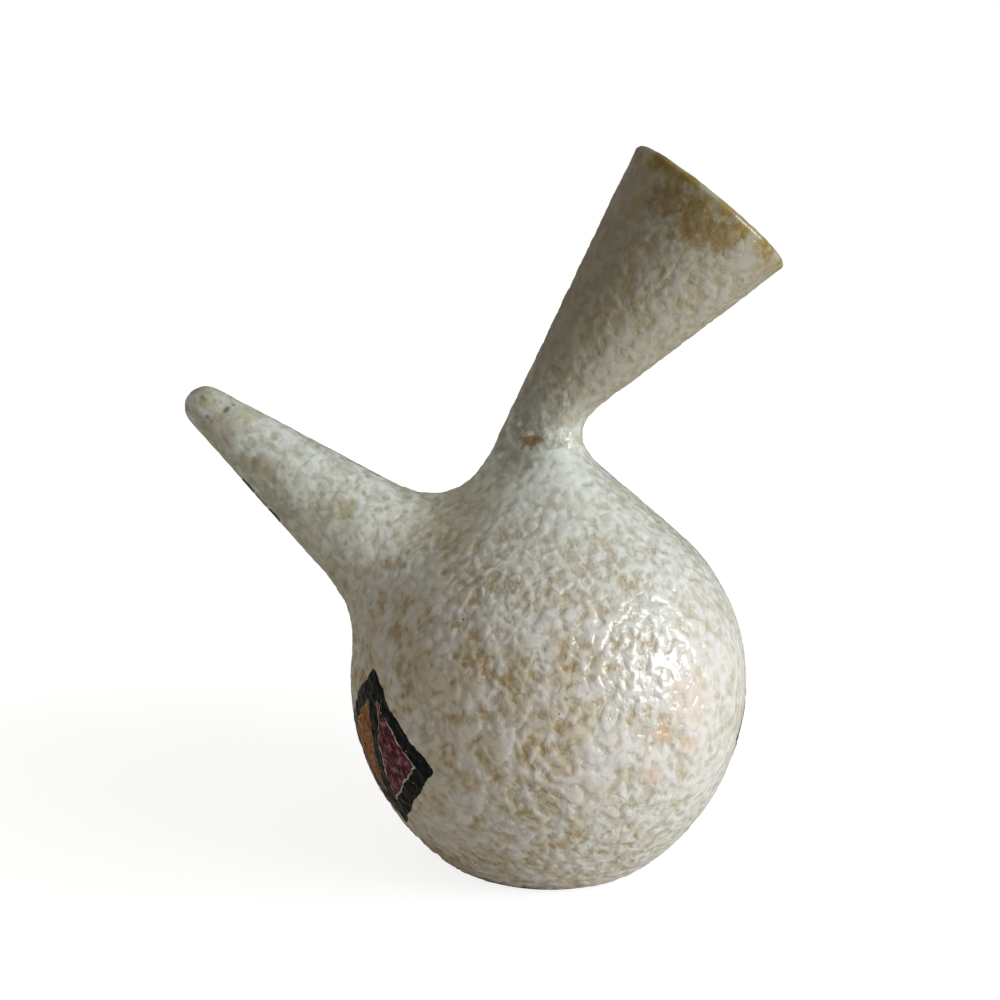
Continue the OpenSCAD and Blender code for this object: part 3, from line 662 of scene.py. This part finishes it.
def on_horn(index):
    """One brushed band part of the way round the horn."""
    low = BAND_FROM + index * (BAND_W + BARE)
    high = low + BAND_W
    radius = horn_r(low) + BAND_SPARE
    picked()
    bpy.ops.mesh.primitive_cylinder_add(vertices=24, radius=radius, depth=BAND_W + 2 * BAND_SPARE,
                                        end_fill_type="NOTHING", location=(0, 0, (low + high) / 2))
    sheet = bpy.context.object
    bpy.ops.object.transform_apply(location=True, rotation=True, scale=True)
    bpy.ops.object.mode_set(mode="EDIT")
    bpy.ops.mesh.select_all(action="SELECT")
    bpy.ops.mesh.subdivide(number_cuts=23)
    bpy.ops.object.mode_set(mode="OBJECT")

    def covers(at):
        round_it = math.atan2(at.y, at.x) % (2 * math.pi)
        along = round_it * radius
        from_ends = min(round_it - BAND_TURN, BAND_TURN + BAND_SWEEP - round_it) * radius
        from_low = at.z - low + wobble(0, along, index)
        from_high = high - at.z - wobble(0, along, index + 1)
        return min(from_low, from_high, from_ends + wobble(at.z, along, BAND_ENDS)) > 0

    trimmed(sheet, covers)
    sheet.rotation_euler = (0, -HORN_TILT, 0)
    sheet.location = (0, 0, BELLY_Z)
    laid_on_coat(sheet, wrap_method="NEAREST_SURFACEPOINT")
    return sheet


def joined(name, sheets, finish, node):
    """Makes all patches of one colour one piece."""
    picked(*sheets)
    bpy.ops.object.join()
    piece = sheets[0]
    piece.name = name
    dressed(piece, finish)
    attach(piece, "root")
    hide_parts(node)


def strokes(x, y, depth):
    """The outline of a lozenge and its middle bar."""
    bar = STROKE / 2 + wobble(y, x, BAR_RIGHT if x > 0 else BAR_LEFT)
    return depth > 0 and (depth < STROKE or abs(x) < bar)


# Black enamel: deep blue-black and glossy, broken by pinholes where the white glaze shows.
black, tree, shader, place = finish_named("brushed_black_enamel")
drag = add(tree, "ShaderNodeTexNoise", {"Vector": place, "Scale": MM / 1.8, "Detail": 3.0})
ink = add(tree, "ShaderNodeMix", {0: drag.outputs["Fac"], 6: linear("#040708"), 7: linear("#0d171b")},
          data_type="RGBA")
holes = add(tree, "ShaderNodeTexVoronoi", {"Vector": place, "Scale": MM / 1.9})
lot = add(tree, "ShaderNodeSeparateXYZ", {0: holes.outputs["Color"]})
hole_size = add(tree, "ShaderNodeMapRange", {0: lot.outputs[0], 1: 0.72, 2: 1.0, 3: 0.0, 4: 0.2})
hole_in = add(tree, "ShaderNodeMath", {0: hole_size.outputs[0], 1: holes.outputs["Distance"]},
              operation="SUBTRACT")
pinhole = add(tree, "ShaderNodeMapRange", {0: hole_in.outputs[0], 1: 0.0, 2: 0.06, 4: 0.8})
holed = add(tree, "ShaderNodeMix", {0: pinhole.outputs[0], 6: ink.outputs[2], 7: linear("#a9aaa3")},
            data_type="RGBA")
tree.links.new(holed.outputs[2], shader.inputs["Base Color"])
lumpy = add(tree, "ShaderNodeBump", {"Height": drag.outputs["Fac"], "Strength": 0.5, "Distance": 0.0003})
tree.links.new(lumpy.outputs["Normal"], shader.inputs["Normal"])
shader.inputs["Roughness"].default_value = 0.2
shader.inputs["IOR"].default_value = 1.2
joined("black_strokes", [on_lozenge(turn, strokes) for turn in LOZENGE_TURNS] + [on_horn(0), on_horn(2)],
       black, "black_enamel")


# Maroon fields. Wine-red enamel filled in by brush beside the middle bar of two lozenges, a hair's breadth
# clear of the black, and fired with it.
MAROON = "#30060f", "#6f2238", "#b67f8e"  # Where it gathered, as brushed, and where it is thin.
MAROON_GRAIN = 1.8  # In millimetres.


def mottled(name, dark, mid, light, grain):
    """A brushed colour: light where it is thin over the lumps, and dark where it gathered in the pits."""
    finish, tree, shader, place = finish_named(name)
    gathered = add(tree, "ShaderNodeTexNoise",
                   {"Vector": place, "Scale": MM / grain, "Detail": 3.0, "Roughness": 0.6})
    thick = add(tree, "ShaderNodeMapRange", {0: gathered.outputs["Fac"], 1: 0.36, 2: 0.56})
    thin = add(tree, "ShaderNodeMapRange", {0: gathered.outputs["Fac"], 1: 0.53, 2: 0.68})
    body = add(tree, "ShaderNodeMix", {0: thick.outputs[0], 6: linear(dark), 7: linear(mid)},
               data_type="RGBA")
    worn = add(tree, "ShaderNodeMix", {0: thin.outputs[0], 6: body.outputs[2], 7: linear(light)},
               data_type="RGBA")
    tree.links.new(worn.outputs[2], shader.inputs["Base Color"])
    lumpy = add(tree, "ShaderNodeBump",
                {"Height": gathered.outputs["Fac"], "Strength": 0.45, "Distance": 0.0004})
    tree.links.new(lumpy.outputs["Normal"], shader.inputs["Normal"])
    shader.inputs["Roughness"].default_value = 0.2
    shader.inputs["IOR"].default_value = 1.25
    return finish


def right_field(x, y, depth):
    """The half of a lozenge to the right of its middle bar."""
    return depth > STROKE + BARE and x > STROKE / 2 + BARE + wobble(y, x, BAR_RIGHT)


# Maroon enamel: glassy wine-red, near black where it gathered and pink where it is thin.
maroon = mottled("mottled_maroon_enamel", *MAROON, MAROON_GRAIN)
joined("maroon_fields", [on_lozenge(LOZENGE_TURNS[i], right_field) for i in (0, 2)],
       maroon, "maroon_enamel")


# Orange fields. Burnt-orange enamel, brushed into the other half of the same lozenges and into one half of
# the last one, and fired with the rest.
ORANGE = "#743c12", "#a65f1e", "#cb8d46"
ORANGE_GRAIN = 1.8


def left_field(x, y, depth):
    """The half of a lozenge to the left of its middle bar."""
    return depth > STROKE + BARE and -x > STROKE / 2 + BARE + wobble(y, x, BAR_LEFT)


# Orange enamel: glassy and warm, brown where it gathered and honey-coloured where it is thin.
orange = mottled("mottled_orange_enamel", *ORANGE, ORANGE_GRAIN)
orange_sheets = [on_lozenge(LOZENGE_TURNS[i], left_field) for i in (0, 2)]
orange_sheets += [on_lozenge(LOZENGE_TURNS[4], right_field)]
joined("orange_fields", orange_sheets, orange, "orange_enamel")


# Green fields. Grey-green enamel, brushed into one half of the two lozenges between the maroon and orange
# ones, and fired with the rest.
GREEN = "#222f28", "#3d5045", "#7b8c81"
GREEN_GRAIN = 1.6

# Green enamel: dull and dark, slate where it gathered and sage where it is thin.
green = mottled("mottled_green_enamel", *GREEN, GREEN_GRAIN)
joined("green_fields", [on_lozenge(LOZENGE_TURNS[i], right_field) for i in (1, 3)],
       green, "green_enamel")


# Yellow fields. Olive-yellow enamel, brushed into the other half of those lozenges and into the band between
# the two black bands of the horn, and fired with the rest.
YELLOW = "#69641f", "#a39a35", "#cbc471"
YELLOW_GRAIN = 1.7

# Yellow enamel: bright where it is thin, with olive where it gathered.
yellow = mottled("mottled_yellow_enamel", *YELLOW, YELLOW_GRAIN)
yellow_sheets = [on_lozenge(LOZENGE_TURNS[i], left_field) for i in (1, 3)] + [on_horn(1)]
joined("yellow_fields", yellow_sheets, yellow, "yellow_enamel")


# Studio. Not part of the vase: a plain pale floor that keeps the vase's soft shadow, a pale room, one large
# soft window light from the right and the camera at the photograph's angle.
FLOOR_SIZE, SHADE_FROM, SHADE_TO = 8.0, 0.12, 0.5
SHADE_DEPTH = 0.35  # How much of the light that falls on the floor the eye sees, beside its own glow.
picked()
bpy.ops.mesh.primitive_plane_add(size=FLOOR_SIZE, location=(0, 0, 0))
floor = bpy.context.object
floor.name = "floor"

# White paper: matt and pale to the light it sends back, and near white to the eye apart from the shadow.
paper, tree, shader, place = finish_named("white_paper")
tree.nodes.remove(shader)
rays = add(tree, "ShaderNodeLightPath")
matt = add(tree, "ShaderNodeBsdfDiffuse", {"Color": linear("#e0ddd5")})
grey = add(tree, "ShaderNodeMix", {0: SHADE_DEPTH, 6: linear("#000000"), 7: linear("#ffffff")},
           data_type="RGBA")
shaded = add(tree, "ShaderNodeBsdfDiffuse", {"Color": grey.outputs[2]})
away = add(tree, "ShaderNodeVectorMath", {0: place}, operation="LENGTH")
paler = add(tree, "ShaderNodeMapRange",
            {0: away.outputs["Value"], 1: SHADE_FROM, 2: SHADE_TO, 3: 0.84, 4: 0.96},
            interpolation_type="SMOOTHSTEP")
lit = add(tree, "ShaderNodeEmission", {"Color": linear("#ffffff"), "Strength": paler.outputs[0]})
shown = add(tree, "ShaderNodeAddShader", {0: shaded.outputs[0], 1: lit.outputs[0]})
either = add(tree, "ShaderNodeMixShader",
             {0: rays.outputs["Is Camera Ray"], 1: matt.outputs[0], 2: shown.outputs[0]})
tree.links.new(either.outputs[0], tree.nodes["Material Output"].inputs["Surface"])
dressed(floor, paper)

# The room: dim and warm to the vase, brightest up and to the left behind it, and plain white to the eye.
BRIGHTEST = (-0.40, 0.25, 0.88)
room = bpy.data.worlds.new("pale_room")
bpy.context.scene.world = room
room.use_nodes = True
tree = room.node_tree
rays = add(tree, "ShaderNodeLightPath")
seen = add(tree, "ShaderNodeMath",
           {0: rays.outputs["Is Camera Ray"], 1: rays.outputs["Is Transmission Ray"]}, operation="MAXIMUM")
sky = add(tree, "ShaderNodeTexCoord").outputs["Generated"]
upwards = add(tree, "ShaderNodeVectorMath", {0: sky, 1: BRIGHTEST}, operation="DOT_PRODUCT")
dim = add(tree, "ShaderNodeMapRange", {0: upwards.outputs["Value"], 1: -0.4, 2: 1.0, 3: 0.135, 4: 0.385})
mirrored = add(tree, "ShaderNodeMapRange", {0: rays.outputs["Is Glossy Ray"], 3: dim.outputs[0], 4: 0.16})
power = add(tree, "ShaderNodeMapRange", {0: seen.outputs[0], 3: mirrored.outputs[0], 4: 1.0})
walls = add(tree, "ShaderNodeMix", {0: seen.outputs[0], 6: linear("#fff8ec"), 7: linear("#ffffff")},
            data_type="RGBA")
tree.links.new(walls.outputs[2], tree.nodes["Background"].inputs["Color"])
tree.links.new(power.outputs[0], tree.nodes["Background"].inputs["Strength"])

# The window: cool daylight through a large pane to the right of the camera.
WINDOW_W, WINDOW_H, WINDOW_OFF, WINDOW_POWER = 0.46, 0.44, 0.85, 6.6
LIT_MIDDLE, TOWARDS_WINDOW = Vector((0, 0, 0.09)), Vector((0.8606, -0.4385, 0.2588))
window = bpy.data.lights.new("window", "AREA")
window.shape = "RECTANGLE"
window.size, window.size_y = WINDOW_W, WINDOW_H
window.energy = WINDOW_POWER
window.color = linear("#f4fafe")[:3]
window_object = bpy.data.objects.new("window", window)
bpy.context.scene.collection.objects.link(window_object)
window_object.location = LIT_MIDDLE + TOWARDS_WINDOW * WINDOW_OFF
window_object.rotation_euler = TOWARDS_WINDOW.to_track_quat("Z", "Y").to_euler()

# The camera: near, at about the height of the neck, and looking slightly down.
CAMERA_AT, CAMERA_DOWN = (-0.01565, -0.4544, 0.2019), 10.404
camera = bpy.data.cameras.new("camera")
camera.lens, camera.sensor_width = 51.48, 36.0
camera_object = bpy.data.objects.new("camera", camera)
bpy.context.scene.collection.objects.link(camera_object)
camera_object.location = CAMERA_AT
camera_object.rotation_euler = (math.radians(90 - CAMERA_DOWN), 0, 0)
bpy.context.scene.camera = camera_object
bpy.context.scene.view_settings.view_transform = "Standard"
